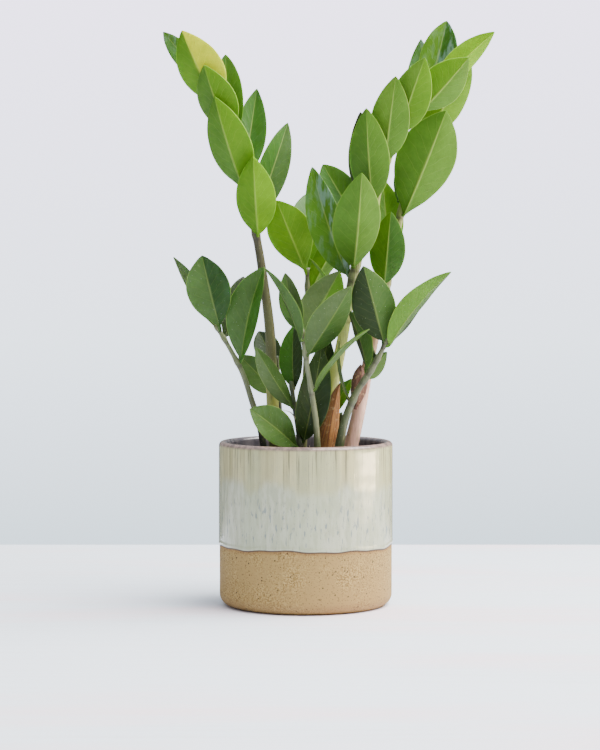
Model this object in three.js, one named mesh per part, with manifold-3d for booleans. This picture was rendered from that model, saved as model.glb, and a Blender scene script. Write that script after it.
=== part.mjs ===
// A zz plant (Zamioculcas zamiifolia) in a straight-sided stoneware pot.
// Millimetres, +Z up. The origin is the middle of the pot's flat underside, +X is to the
// right as the pot is seen from its front, and +Y runs away from the front.
import * as THREE from 'three';
import Module from 'manifold-3d';
import { mergeVertices } from 'three/addons/utils/BufferGeometryUtils.js';

// Driving dimensions.
const GAP = 0.3; // between pieces that touch
const POT_RADIUS = 65;
const POT_HEIGHT = 122.5;
const POT_WALL = 6;
const POT_FLOOR = 7;
const POT_FOOT_ROUNDING = 9;
const POT_SIDES = 48;
const SOIL_TOP = 106;
const STEM_FOOT = SOIL_TOP - 15; // the stems go this far down into the soil
const STEM_SIDES = 8;
const STEM_STEP = 22; // length of stem between two rings of its mesh
const STEM_TAPER = 0.8; // below 1, a stem thins out most near its foot
const LEAFLET_RINGS = 7;
const LEAFLET_SIDES = 8;
const LEAFLET_THICKNESS = 1.1;
const STALK_RADIUS = 1.2; // of the short stalk that holds a leaflet
const TIP_RADIUS = 0.3;
const SHEATH_THICKNESS = 0.9;

const wasm = await Module();
wasm.setup();

const vec = (x, y, z) => new THREE.Vector3(x, y, z);

const finish = (color, roughness) =>
  new THREE.MeshStandardMaterial({ color, roughness, metalness: 0 });

const FINISHES = {
  stoneware: finish('#c8c6b8', 0.3),
  soil: finish('#3a2c22', 0.95),
  oldStem: finish('#6f6b49', 0.5),
  youngStem: finish('#9aa05a', 0.5),
  youngLeaf: finish('#7fa838', 0.4),
  oldLeaf: finish('#4a7438', 0.3),
  sheath: finish('#9c6434', 0.8),
};

const plant = new THREE.Group();

function place(name, geometry, material) {
  const mesh = new THREE.Mesh(geometry, material);
  mesh.name = name;
  plant.add(mesh);
}

// ---- The pot: thrown stoneware, one wall with a rounded lip and a rounded foot.

function potProfile() {
  const lip = POT_WALL / 2;
  const outline = new THREE.Path();
  outline.moveTo(0, 0);
  outline.lineTo(POT_RADIUS - POT_FOOT_ROUNDING, 0);
  outline.absarc(
    POT_RADIUS - POT_FOOT_ROUNDING, POT_FOOT_ROUNDING, POT_FOOT_ROUNDING, -Math.PI / 2, 0);
  outline.lineTo(POT_RADIUS, POT_HEIGHT - lip);
  outline.absarc(POT_RADIUS - lip, POT_HEIGHT - lip, lip, 0, Math.PI);
  outline.lineTo(POT_RADIUS - POT_WALL, POT_FLOOR);
  outline.lineTo(0, POT_FLOOR);
  return outline.getPoints(5);
}

// A lathe turns about Y, so it is stood up onto Z.
function turned(profile, sides) {
  return new THREE.LatheGeometry(profile, sides).rotateX(Math.PI / 2);
}

place('stoneware_pot', turned(potProfile(), POT_SIDES), FINISHES.stoneware);

// ---- Stems: round and tapered, along a smooth path that rises all the way.

class Stem {
  constructor(name, { path, radius, tip, look, leaflets }) {
    this.name = name;
    this.curve = new THREE.CatmullRomCurve3(path.map((p) => vec(...p)));
    this.radius = radius;
    this.tip = tip;
    this.look = look;
    this.leaflets = leaflets;
    this.rings = Math.max(4, Math.round(this.curve.getLength() / STEM_STEP));
  }

  // The place along the stem, from 0 at the foot to 1 at the tip, that is at this height.
  at(height) {
    let low = 0;
    let high = 1;
    while (high - low > 1e-4) {
      const middle = (low + high) / 2;
      if (this.curve.getPointAt(middle).z < height) low = middle;
      else high = middle;
    }
    return low;
  }

  radiusAt(s) {
    return THREE.MathUtils.lerp(this.radius, this.tip, s ** STEM_TAPER);
  }

  solid(extra = 0) {
    const geometry = new THREE.CylinderGeometry(1, 1, 1, STEM_SIDES, this.rings);
    return reshape(geometry, (s, turn, out) => {
      const along = this.curve.getTangentAt(s);
      const right = vec(1, 0, 0).projectOnPlane(along).normalize();
      const front = along.clone().cross(right);
      return this.curve.getPointAt(s)
        .addScaledVector(along, s === 0 ? -extra : 0)
        .addScaledVector(right, out * Math.sin(turn) * (this.radiusAt(s) + extra))
        .addScaledVector(front, out * Math.cos(turn) * (this.radiusAt(s) + extra));
    });
  }
}

// Moves every point of an upright unit cylinder to where(s, turn, out): s runs from 0 at its
// first end to 1 at its last, turn is the angle round it, and out is 1 on its wall and 0 at
// the middle of an end.
function reshape(geometry, where) {
  const points = geometry.getAttribute('position');
  for (let i = 0; i < points.count; i++) {
    const [x, y, z] = [points.getX(i), points.getY(i), points.getZ(i)];
    const moved = where(0.5 - y, Math.atan2(x, z), Math.round(Math.hypot(x, z)));
    points.setXYZ(i, moved.x, moved.y, moved.z);
  }
  geometry.computeVertexNormals();
  return geometry;
}

// ---- Leaflets: a short stalk that widens into a pointed blade, folded along its midrib and
// arched along its length. The blade's edges rise towards the side that it faces.

// The blade's half-width at s, as a share of its widest: round at the foot, pointed at the tip.
function bladeOutline(s) {
  const [footRoundness, tipSharpness] = [0.68, 0.85];
  const widestAt = footRoundness / (footRoundness + tipSharpness);
  const shape = (t) => t ** footRoundness * (1 - t) ** tipSharpness;
  return shape(s) / shape(widestAt);
}

function bladeGeometry({ foot, reach, faces, width, thickness, fold, cup, arch, widest }) {
  const length = reach.length();
  const chord = reach.clone().normalize();
  const upper = faces.clone().projectOnPlane(chord).normalize();
  const geometry = new THREE.CylinderGeometry(1, 1, 1, LEAFLET_SIDES, LEAFLET_RINGS);
  return reshape(geometry, (step, turn, out) => {
    const s = (1 - Math.cos(Math.PI * step)) / 2; // rings close up towards both ends
    const outline = bladeOutline(s ** widest);
    const half = Math.max((width / 2) * outline, THREE.MathUtils.lerp(STALK_RADIUS, TIP_RADIUS, s));
    const thick = THREE.MathUtils.lerp(thickness / 2, STALK_RADIUS, (1 - s) ** 8);
    const slope = Math.atan(4 * arch * (1 - 2 * s));
    const across = upper.clone().cross(chord);
    const normal = upper.clone().applyAxisAngle(across, -slope);
    const side = out * Math.sin(turn);
    const rise = half * (fold * Math.abs(side) + cup * side ** 2);
    const depth = out * Math.cos(turn) * Math.min(thick, half);
    return foot.clone()
      .addScaledVector(chord, s * length)
      .addScaledVector(upper, 4 * s * (1 - s) * arch * length)
      .addScaledVector(across, side * half)
      .addScaledVector(normal, rise + depth);
  });
}

function growLeaflet(stem, name, leaflet) {
  const { height, reach, faces, width, old } = leaflet;
  const s = stem.at(height);
  const along = stem.curve.getTangentAt(s);
  const out = (leaflet.side ? vec(...leaflet.side) : vec(...reach)).projectOnPlane(along);
  const foot = stem.curve.getPointAt(s)
    .addScaledVector(out.normalize(), stem.radiusAt(s) + STALK_RADIUS + GAP);
  const geometry = bladeGeometry({
    foot,
    reach: vec(...reach),
    faces: vec(...faces),
    width,
    thickness: LEAFLET_THICKNESS,
    fold: leaflet.fold ?? 0.3,
    cup: 0,
    arch: leaflet.arch ?? 0.05,
    widest: leaflet.widest ?? 1,
  });
  place(name, geometry, old ? FINISHES.oldLeaf : FINISHES.youngLeaf);
}

// ---- The stems and what grows on them. Each leaflet leaves its stem at `height`, its tip is
// `reach` away from its foot, and its upper side looks towards `faces`.

const STEMS = [
  new Stem('tall_left', {
    path: [[-21, 10, STEM_FOOT], [-25, 7, 150], [-27, 5, 205], [-37, 1, 276], [-48, -2, 319],
      [-58, -5, 355], [-70, -8, 382], [-77, -10, 394]],
    radius: 5.6, tip: 1.5, look: 'oldStem',
    leaflets: [
      { height: 277, reach: [-3, -24, 56], faces: [0.1, 1, 0.3], width: 30, arch: -0.05 },
      { height: 290, reach: [23, 19, 70], faces: [0.2, -1, 0.1], width: 23 },
      { height: 313, reach: [-20, -24, 64], faces: [0.3, 1, 0.3], width: 33, arch: -0.05 },
      { height: 320, reach: [9, 24, 66], faces: [0.1, -1, 0.2], width: 24, arch: -0.03 },
      { height: 348, reach: [-6, 18, 63], faces: [-0.3, -1, 0.2], width: 26 },
      { height: 353, reach: [-17, -22, 47], faces: [0.3, 1, 0.3], width: 30, arch: -0.05 },
      { height: 375, reach: [-24, -20, 50], faces: [0.3, 1, 0.2], width: 35, arch: -0.05 },
      { height: 390, reach: [-31, 18, 38], faces: [-0.2, -1, 0.3], width: 16 },
    ],
  }),
  new Stem('low_left', {
    path: [[-27, -8, STEM_FOOT], [-36, -10, 142], [-42, -12, 158], [-50, -13, 182],
      [-61, -15, 199], [-67, -16, 210]],
    radius: 3.2, tip: 1.4, look: 'oldStem',
    leaflets: [
      { height: 183, reach: [17, -18, 68], faces: [-0.8, -1, 0.1], width: 31, old: true,
        fold: 0.5, widest: 1.2 },
      { height: 200, reach: [13, 30, 44], faces: [0.3, -1, 0.2], width: 20, old: true },
      { height: 208, reach: [-12, -16, 52], faces: [-0.1, -1, -0.3], width: 33, old: true,
        arch: 0.04, widest: 1.4 },
      { height: 209, reach: [-32, 20, 51], faces: [-0.6, -1, -0.2], width: 13, old: true,
        arch: -0.07 },
    ],
  }),
  new Stem('thin_middle', {
    path: [[10, -28, STEM_FOOT], [7, -31, 142], [4, -32, 162], [0, -33, 185], [-3, -34, 207]],
    radius: 3.0, tip: 1.4, look: 'oldStem',
    leaflets: [
      { height: 163, reach: [39, -18, 44], faces: [-0.7, 0, 0.7], width: 22, old: true },
      { height: 200, reach: [-26, -17, 52], faces: [0.85, 0.4, 0.5], width: 20, old: true,
        side: [-0.8, -1, 0] },
      { height: 189, reach: [30, -20, 49], faces: [-0.2, 1, 0.3], width: 26, old: true,
        arch: -0.03 },
      { height: 205, reach: [25, 10, 44], faces: [0.2, 1, 0.2], width: 30, old: true },
      { height: 206, reach: [-11, 12, 42], faces: [-0.5, -1, 0.2], width: 18, old: true,
        side: [-0.5, 1, 0] },
    ],
  }),
  new Stem('tall_middle', {
    path: [[12, -4, STEM_FOOT], [15, -5, 141], [22, -6, 172], [29, -8, 209], [35, -10, 245],
      [49, -12, 290], [61, -14, 332], [72, -16, 353], [88, -18, 373], [100, -20, 390]],
    radius: 6, tip: 1.4, look: 'youngStem',
    leaflets: [
      { height: 216, reach: [-23, 22, 42], faces: [0.7, 0, 0.5], width: 16, old: true },
      { height: 246, reach: [-26, 14, 80], faces: [-0.6, -1, 0.1], width: 29 },
      { height: 253, reach: [5, -34, 67], faces: [-0.2, 1, 0.3], width: 36, arch: -0.04 },
      { height: 278, reach: [-29, 40, 51], faces: [-0.2, -1, 0.2], width: 28 },
      { height: 296, reach: [-8, 22, 72], faces: [-0.4, -1, 0.1], width: 28, arch: -0.04,
        side: [-0.5, 1, 0] },
      { height: 300, reach: [-5, -24, 67], faces: [0.2, 1, 0.2], width: 30, arch: -0.04 },
      { height: 330, reach: [7, -24, 60], faces: [0.1, 1, 0.2], width: 29, arch: -0.04 },
      { height: 350, reach: [18, -22, 53], faces: [0.2, 1, 0.2], width: 29, arch: -0.04 },
      { height: 369, reach: [33, -9, 37], faces: [-0.3, 1, 0.3], width: 32, arch: -0.04 },
      { height: 385, reach: [42, 6, 41], faces: [-0.3, 1, 0.3], width: 21, side: [0.3, 1, 0] },
    ],
  }),
  new Stem('tall_right', {
    path: [[31, 12, STEM_FOOT], [34, 13, 118], [40, 14, 143], [46, 15, 174], [51, 16, 198],
      [60, 17, 236], [71, 18, 290], [79, 18, 330], [87, 18, 362], [93, 18, 385]],
    radius: 6.2, tip: 1.4, look: 'youngStem',
    leaflets: [
      { height: 240, reach: [4, -18, 53], faces: [0.1, 1, 0.1], width: 27, arch: -0.04 },
      { height: 262, reach: [-4, 28, 58], faces: [0, -1, 0.2], width: 26, arch: -0.03 },
      { height: 293, reach: [30, -18, 76], faces: [-0.1, 1, 0.2], width: 45, arch: -0.04,
        widest: 1.3 },
      { height: 364, reach: [2, 26, 62], faces: [-0.3, -1, 0.2], width: 22, arch: -0.04 },
      { height: 376, reach: [15, -6, 60], faces: [0.1, -1, 0.1], width: 28, widest: 1.3 },
    ],
  }),
  new Stem('back_middle', {
    path: [[-3, 22, STEM_FOOT], [-1, 23, 140], [1, 24, 200], [1.5, 25, 252]],
    radius: 3.2, tip: 1.8, look: 'oldStem',
    leaflets: [
      { height: 237, reach: [29, -4, 50], faces: [-0.3, 1, 0.4], width: 20, fold: 0.2 },
      { height: 249, reach: [-1, 38, 60], faces: [0.1, -1, 0.3], width: 30 },
      { height: 251, reach: [-21, -22, 51], faces: [0, 1, 0.3], width: 33, arch: -0.04,
        widest: 1.3 },
    ],
  }),
  new Stem('low_right', {
    path: [[19, -26, STEM_FOOT], [25, -28, 121], [31, -29, 149], [39, -30, 163], [46, -31, 174],
      [54, -32, 187], [60, -33, 200]],
    radius: 4.4, tip: 1.5, look: 'oldStem',
    leaflets: [
      { height: 155, reach: [-6, 3, 41], faces: [-1, 0, 0.2], width: 13, old: true },
      { height: 171, reach: [15, 8, 19], faces: [0.2, 1, 0.5], width: 14 },
      { height: 177, reach: [-14, 12, 42], faces: [0.9, 0.6, 0.1], width: 20, old: true },
      { height: 185, reach: [-4, 38, 31], faces: [-1, 0.3, 0.3], width: 15, old: true },
      { height: 197, reach: [44, -12, 53], faces: [-0.8, 0.7, 0.8], width: 30, old: true },
      { height: 198, reach: [-15, -17, 54], faces: [-0.1, 1, 0.2], width: 32, old: true,
        arch: -0.04 },
    ],
  }),
  new Stem('short_front', {
    path: [[-3, -16, STEM_FOOT], [-4, -16, 118], [-8, -14, 146], [-11, -13, 168]],
    radius: 2.4, tip: 1.5, look: 'oldStem',
    leaflets: [
      { height: 120, reach: [-34, -20, 29], faces: [-0.2, -1, 0.6], width: 26, old: true,
        widest: 1.4 },
      { height: 124, reach: [13, -2, 69], faces: [0.2, -1, 0], width: 25, old: true },
      { height: 150, reach: [-26, -15, 44], faces: [-0.6, 0.6, 0.5], width: 16, old: true },
      { height: 163, reach: [0, 12, 46], faces: [-0.5, -1, 0], width: 20, old: true },
    ],
  }),
  new Stem('short_back', {
    path: [[-16, 34, STEM_FOOT], [-19, 34, 130], [-21, 33, 165], [-22, 32, 185]],
    radius: 2.6, tip: 1.5, look: 'oldStem',
    leaflets: [
      { height: 158, reach: [-27, -7, 28], faces: [-0.2, -1, 0.5], width: 22, old: true },
      { height: 176, reach: [-13, 20, 27], faces: [0, -1, 0.4], width: 20, old: true },
    ],
  }),
];

for (const stem of STEMS) {
  place(`${stem.name}_stem`, stem.solid(), FINISHES[stem.look]);
  stem.leaflets.forEach((leaflet, i) => growLeaflet(stem, `${stem.name}_leaflet_${i + 1}`, leaflet));
}

// ---- Papery sheaths: the dry scales that wrapped the young stems, open on one side.

const SHEATHS = [
  { name: 'tall_middle_sheath', foot: [12, -17, 108], reach: [9, -3, 60], faces: [0.2, 1, 0],
    width: 17, widest: 0.6 },
  { name: 'tall_right_sheath', foot: [37, 1, 146], reach: [4, -2, 34], faces: [0.2, 1, 0],
    width: 13, widest: 1.3 },
];

for (const { name, foot, reach, faces, width, widest } of SHEATHS) {
  const geometry = bladeGeometry({
    foot: vec(...foot),
    reach: vec(...reach),
    faces: vec(...faces),
    width,
    thickness: SHEATH_THICKNESS,
    fold: 0,
    cup: 0.8,
    arch: -0.03,
    widest,
  });
  place(name, geometry, FINISHES.sheath);
}

// ---- The potting soil: it fills the pot to below the lip, with a pocket for each stem.

function solidOf(geometry) {
  const bare = geometry.clone();
  bare.deleteAttribute('normal');
  bare.deleteAttribute('uv');
  const merged = mergeVertices(bare, 1e-3);
  return new wasm.Manifold(new wasm.Mesh({
    numProp: 3,
    vertProperties: merged.attributes.position.array,
    triVerts: new Uint32Array(merged.index.array),
  }));
}

function geometryOf(solid) {
  const mesh = solid.getMesh();
  const geometry = new THREE.BufferGeometry();
  geometry.setAttribute('position', new THREE.BufferAttribute(mesh.vertProperties, 3));
  geometry.setIndex(new THREE.BufferAttribute(mesh.triVerts, 1));
  geometry.computeVertexNormals();
  return geometry;
}

function soilProfile() {
  const radius = POT_RADIUS - POT_WALL - GAP;
  return [[0, POT_FLOOR + GAP], [radius, POT_FLOOR + GAP], [radius, SOIL_TOP - 1],
    [radius * 0.8, SOIL_TOP], [0, SOIL_TOP]].map(([r, z]) => new THREE.Vector2(r, z));
}

let soil = solidOf(turned(soilProfile(), POT_SIDES));
for (const stem of STEMS) soil = soil.subtract(solidOf(stem.solid(GAP)));
place('potting_soil', geometryOf(soil), FINISHES.soil);

export default plant;
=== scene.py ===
import math
import random

import bmesh
import bpy
import numpy as np
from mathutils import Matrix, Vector, noise


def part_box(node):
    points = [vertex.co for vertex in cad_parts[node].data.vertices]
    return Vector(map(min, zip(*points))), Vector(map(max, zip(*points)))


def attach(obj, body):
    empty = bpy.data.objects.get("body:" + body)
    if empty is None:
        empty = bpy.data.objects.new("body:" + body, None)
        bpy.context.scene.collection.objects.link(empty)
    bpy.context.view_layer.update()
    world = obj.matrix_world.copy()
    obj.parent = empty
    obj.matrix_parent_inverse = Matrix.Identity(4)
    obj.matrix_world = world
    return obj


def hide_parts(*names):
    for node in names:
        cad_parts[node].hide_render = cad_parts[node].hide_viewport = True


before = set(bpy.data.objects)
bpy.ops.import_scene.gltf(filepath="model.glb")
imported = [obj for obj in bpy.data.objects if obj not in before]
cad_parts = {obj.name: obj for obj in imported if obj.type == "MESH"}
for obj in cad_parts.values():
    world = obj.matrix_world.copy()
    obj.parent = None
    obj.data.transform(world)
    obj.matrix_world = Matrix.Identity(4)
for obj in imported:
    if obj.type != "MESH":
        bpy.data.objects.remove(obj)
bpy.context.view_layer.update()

MM = 0.001


# ---- The camera
# A short telephoto about 1.7 m in front of the pot and a quarter of a metre above the table,
# tipped slightly down, so that the pot's rim shows as a thin ellipse.
lens = bpy.data.cameras.new("camera")
lens.lens = 107.3
lens.sensor_width = 36
camera = bpy.data.objects.new("camera", lens)
camera.location = (-0.0043, -1.670, 0.248)
camera.rotation_euler = (math.radians(90 - 2.61), 0, 0)
bpy.context.scene.collection.objects.link(camera)
bpy.context.scene.camera = camera


# ---- The room
# A pale grey room seen as a light wall behind, darker where the camera stands. Daylight falls
# from high on the right through a large blind, and a bright sill lies past the table's edge.
room = bpy.data.worlds.new("room")
bpy.context.scene.world = room
room.use_nodes = True
room_tree = room.node_tree
wall_paint = room_tree.nodes["Background"]
dim_room = room_tree.nodes.new("ShaderNodeBackground")
facing = room_tree.nodes.new("ShaderNodeTexCoord")
upward = room_tree.nodes.new("ShaderNodeSeparateXYZ")


def shading(lowest, highest, stops):
    """Colours that change with how far up a line of sight runs, from lowest to highest."""
    share = room_tree.nodes.new("ShaderNodeMapRange")
    share.inputs["From Min"].default_value = lowest
    share.inputs["From Max"].default_value = highest
    ramp = room_tree.nodes.new("ShaderNodeValToRGB")
    for _ in stops[2:]:
        ramp.color_ramp.elements.new(0.5)
    for element, (position, colour) in zip(ramp.color_ramp.elements, stops):
        element.position = position
        element.color = (*colour, 1)
    room_tree.links.new(upward.outputs["Z"], share.inputs["Value"])
    room_tree.links.new(share.outputs[0], ramp.inputs["Fac"])
    return ramp.outputs["Color"]


painted = shading(-0.13, 0.12, [
    (0, (1.40, 1.68, 1.90)), (0.4, (2.35, 2.6, 2.95)), (1, (3.2, 3.0, 3.8))])
ambient = shading(-0.2, 1.0, [
    (0.1, (0.28, 0.29, 0.30)), (0.45, (0.42, 0.44, 0.45)), (1, (1.5, 1.6, 1.75))])
seen = room_tree.nodes.new("ShaderNodeLightPath")
either = room_tree.nodes.new("ShaderNodeMixShader")
room_tree.links.new(facing.outputs["Generated"], upward.inputs[0])
room_tree.links.new(painted, wall_paint.inputs["Color"])
room_tree.links.new(ambient, dim_room.inputs["Color"])
room_tree.links.new(seen.outputs["Is Camera Ray"], either.inputs["Fac"])
room_tree.links.new(dim_room.outputs[0], either.inputs[1])
room_tree.links.new(wall_paint.outputs[0], either.inputs[2])
room_tree.links.new(either.outputs[0], room_tree.nodes["World Output"].inputs["Surface"])


def window(name, place, towards, width, height, watts, colour):
    """A soft rectangular light at place that looks towards a point."""
    light = bpy.data.lights.new(name, "AREA")
    light.shape = "RECTANGLE"
    light.size = width
    light.size_y = height
    light.energy = watts
    light.color = colour
    lamp = bpy.data.objects.new(name, light)
    lamp.location = place
    lamp.rotation_euler = (Vector(towards) - Vector(place)).to_track_quat("-Z", "Y").to_euler()
    bpy.context.scene.collection.objects.link(lamp)


window("high_blind", (1.0, -0.15, 1.73), (0, 0, 0.2), 2.0, 1.8, 190, (1, 0.985, 0.94))
window("bright_sill", (1.6, -0.1, -0.11), (0, -0.1, 0.1), 1.0, 0.28, 44, (1, 0.80, 0.50))


# ---- The table
# A bleached white board table, brushed with thin whitewash that leaves the grain just showing.
# Its far edge is the line behind the pot.
TABLE_LEFT, TABLE_RIGHT = -1.0, 0.97
TABLE_FRONT, TABLE_BACK = -1.0, 0.364
TABLE_THICK = 0.03


def linear(code):
    """A colour written as #rrggbb, as Blender's linear red, green, blue and alpha."""
    shares = [int(code[i:i + 2], 16) / 255 for i in (1, 3, 5)]
    return [s / 12.92 if s <= 0.04045 else ((s + 0.055) / 1.055) ** 2.4 for s in shares] + [1]


def put(tree, kind, inputs, **settings):
    """Adds a node. Each input is a plain value or the output socket that feeds it."""
    made = tree.nodes.new(kind)
    for key, value in settings.items():
        setattr(made, key, value)
    for key, value in inputs.items():
        if isinstance(value, bpy.types.NodeSocket):
            tree.links.new(value, made.inputs[key])
        else:
            made.inputs[key].default_value = value
    return made


def sum_of(tree, how, first, second=0.0):
    """One arithmetic step between two numbers."""
    return put(tree, "ShaderNodeMath", {0: first, 1: second}, operation=how).outputs[0]


def eased(tree, value, start, end):
    """0 below start and 1 above end, with a soft step between them. It may run downwards."""
    inputs = {"Value": value, "From Min": start, "From Max": end}
    return put(tree, "ShaderNodeMapRange", inputs, interpolation_type="SMOOTHSTEP").outputs[0]


def between(tree, share, first, second):
    """A number share of the way from the first to the second."""
    inputs = {"Value": share, "To Min": first, "To Max": second}
    return put(tree, "ShaderNodeMapRange", inputs).outputs[0]


def tinted(tree, share, under, over, how="MIX"):
    """The colour over laid on the colour under, by its share."""
    inputs = {0: share, 6: under, 7: over}
    return put(tree, "ShaderNodeMix", inputs, data_type="RGBA", blend_type=how).outputs[2]


def carried(tree, name):
    """A value that the mesh carries at each of its points."""
    return put(tree, "ShaderNodeAttribute", {}, attribute_name=name)


def shader_group(name, takes):
    """An empty node group with these inputs and one Mask output, its input and output nodes."""
    group = bpy.data.node_groups.new(name, "ShaderNodeTree")
    for socket, (kind, value) in takes.items():
        made = group.interface.new_socket(socket, in_out="INPUT", socket_type="NodeSocket" + kind)
        if value is not None:
            made.default_value = value
    group.interface.new_socket("Mask", in_out="OUTPUT", socket_type="NodeSocketFloat")
    return group, group.nodes.new("NodeGroupInput"), group.nodes.new("NodeGroupOutput")


# Cloudy patches, which a long scale on one axis draws out into streaks.
mottling, given, mask = shader_group("mottling", {
    "Where": ("Vector", None), "Scale": ("Vector", (50, 50, 50)),
    "From": ("Float", 0.4), "To": ("Float", 0.6)})
stretched = put(mottling, "ShaderNodeVectorMath", {0: given.outputs["Where"], 1: given.outputs["Scale"]},
                operation="MULTIPLY")
clouds = put(mottling, "ShaderNodeTexNoise",
             {"Vector": stretched.outputs[0], "Scale": 1, "Detail": 4, "Roughness": 0.55})
patches = eased(mottling, clouds.outputs[0], given.outputs["From"], given.outputs["To"])
mottling.links.new(patches, mask.inputs["Mask"])


def mottled(tree, where, scale, start=0.4, end=0.6):
    """The mottling group placed in a material. scale is one number, or one for each axis."""
    scale = scale if isinstance(scale, tuple) else (scale, scale, scale)
    made = put(tree, "ShaderNodeGroup", {}, node_tree=mottling)
    tree.links.new(where, made.inputs["Where"])
    made.inputs["Scale"].default_value = scale
    made.inputs["From"].default_value = start
    made.inputs["To"].default_value = end
    return made.outputs["Mask"]


def new_finish(name):
    """A new material: itself, its node tree, its shader and the place on the object."""
    made = bpy.data.materials.new(name)
    made.use_nodes = True
    tree = made.node_tree
    place = tree.nodes.new("ShaderNodeTexCoord").outputs["Object"]
    return made, tree, tree.nodes["Principled BSDF"], place


def raised(tree, shader, height, depth):
    """Feeds the shader's normal with a bump, depth in metres at height 1."""
    bump = put(tree, "ShaderNodeBump", {"Height": height, "Distance": depth, "Strength": 1.0})
    tree.links.new(bump.outputs["Normal"], shader.inputs["Normal"])


whitewash, tree, shader, place = new_finish("whitewashed_board")
grain = mottled(tree, place, (4, 130, 1), 0.35, 0.75)
worn = mottled(tree, place, (2.5, 7, 1), 0.5, 0.7)
shown_grain = sum_of(tree, "MULTIPLY", grain, between(tree, worn, 0.25, 0.85))
blush = mottled(tree, place, (1.8, 8, 1), 0.45, 0.70)
board_colour = tinted(tree, shown_grain, linear("#E6EEFA"), linear("#D6D8E0"))
board_colour = tinted(tree, sum_of(tree, "MULTIPLY", blush, 0.8), board_colour, linear("#F4DFE8"))
tree.links.new(board_colour, shader.inputs["Base Color"])
tree.links.new(between(tree, grain, 0.55, 0.7), shader.inputs["Roughness"])
raised(tree, shader, grain, 0.00012)


def mesh_piece(name, points, faces, material, smooth=True):
    """A mesh object from points in metres, with its faces turned outwards."""
    shape = bmesh.new()
    corners = [shape.verts.new(p) for p in points]
    for face in faces:
        shape.faces.new([corners[i] for i in face])
    bmesh.ops.recalc_face_normals(shape, faces=shape.faces)
    mesh = bpy.data.meshes.new(name)
    shape.to_mesh(mesh)
    shape.free()
    mesh.materials.append(material)
    mesh.polygons.foreach_set("use_smooth", [smooth] * len(mesh.polygons))
    piece = bpy.data.objects.new(name, mesh)
    bpy.context.scene.collection.objects.link(piece)
    return piece


table_corners = [(x, y, z) for z in (0, -TABLE_THICK) for x, y in (
    (TABLE_LEFT, TABLE_FRONT), (TABLE_RIGHT, TABLE_FRONT),
    (TABLE_RIGHT, TABLE_BACK), (TABLE_LEFT, TABLE_BACK))]
table_faces = [(0, 1, 2, 3), (7, 6, 5, 4), (0, 4, 5, 1), (1, 5, 6, 2), (2, 6, 7, 3), (3, 7, 4, 0)]
table = mesh_piece("table", table_corners, table_faces, whitewash, smooth=False)


# ---- The pot
# A straight-sided planter thrown in sandy speckled stoneware, with a rounded foot left bare.
# A thick cream glaze was poured over the upper part and the inside: it ends in a wavy line.
pot_low, pot_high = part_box("stoneware_pot")
POT_RADIUS = (pot_high.x - pot_low.x) / 2
POT_HEIGHT = pot_high.z
POT_WALL = 6 * MM
POT_FLOOR = 7 * MM
GLAZE_LINE = 46 * MM
GLAZE_THICK = 0.45 * MM
FOOT_ROUNDING = 8.6 * MM
FOOT_RECESS = 1 * MM
POT_SIDES = 240


def soft_step(value, start, end):
    """0 before start and 1 after end, with a soft step between them."""
    share = min(max((value - start) / (end - start), 0), 1)
    return share * share * (3 - 2 * share)


def glaze_line(turn):
    """The height at which the glaze stops, round the pot."""
    waves = 0.7 * math.sin(3 * turn + 0.6) + 0.5 * math.sin(7 * turn + 2) + 0.3 * math.sin(17 * turn)
    return GLAZE_LINE + waves * MM


def glaze_run(turn, height):
    """How much thicker the glaze is where it ran down in vertical streaks."""
    streak = noise.noise(Vector((9 * math.cos(turn), 9 * math.sin(turn), 12 * height)))
    return 0.12 * MM * streak


bare_radius = POT_RADIUS - GLAZE_THICK
lip_radius = POT_WALL / 2
lip_middle = POT_RADIUS - lip_radius
inner_radius = POT_RADIUS - POT_WALL
profile = [(r * MM, FOOT_RECESS, 0) for r in (15, 30, 42)]
profile += [(44 * MM, 0.2 * MM, 0), (46 * MM, 0, 0), (bare_radius - FOOT_ROUNDING, 0, 0)]
for step in range(1, 9):
    turn = math.pi / 2 * step / 8
    profile.append((bare_radius - FOOT_ROUNDING * (1 - math.sin(turn)),
                    FOOT_ROUNDING * (1 - math.cos(turn)), 0))
wall_heights = [10 + 2.2 * i for i in range(15)] + [42.5 + 0.4 * i for i in range(20)]
wall_heights += [51 + 2.2 * i for i in range(31)]
profile += [(bare_radius, z * MM, 1) for z in wall_heights]
for step in range(13):
    turn = math.pi * step / 12
    profile.append((lip_middle + lip_radius * math.cos(turn),
                    POT_HEIGHT - lip_radius + lip_radius * math.sin(turn), 2))
profile += [(inner_radius, POT_HEIGHT - (6 + 5 * i) * MM, 3) for i in range(20)]
profile += [(inner_radius - 1.5 * MM, POT_FLOOR + 1.5 * MM, 3), (inner_radius - 6 * MM, POT_FLOOR, 3)]
profile += [(r * MM, POT_FLOOR, 3) for r in (35, 15)]

pot_points, pot_glaze, pot_inside, pot_scorch = [(0, 0, FOOT_RECESS)], [0], [0], [0]
for radius, z, zone in profile:
    for side in range(POT_SIDES):
        turn = 2 * math.pi * side / POT_SIDES
        glaze, scorch, r = 0, 0, radius
        thrown = 0.018 * MM * math.sin(z / (1.9 * MM) + 2 * math.sin(turn))
        if zone == 1:
            line = glaze_line(turn)
            glaze = soft_step(z, line - 0.8 * MM, line + 0.9 * MM)
            scorch = soft_step(z, line - 3.5 * MM, line)
            bead = 0.15 * MM * math.exp(-((z - line - 1.8 * MM) / (1.1 * MM)) ** 2)
            r += glaze * (GLAZE_THICK + bead + glaze_run(turn, z)) + thrown
        elif zone > 1:
            glaze = 1
        pot_points.append((r * math.cos(turn), r * math.sin(turn), z))
        pot_glaze.append(glaze)
        pot_inside.append(1 if zone == 3 or (zone == 2 and radius < inner_radius + 1.5 * MM) else 0)
        pot_scorch.append(scorch)
pot_points.append((0, 0, POT_FLOOR))
pot_glaze.append(1)
pot_inside.append(1)
pot_scorch.append(0)
pot_faces = []
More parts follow.
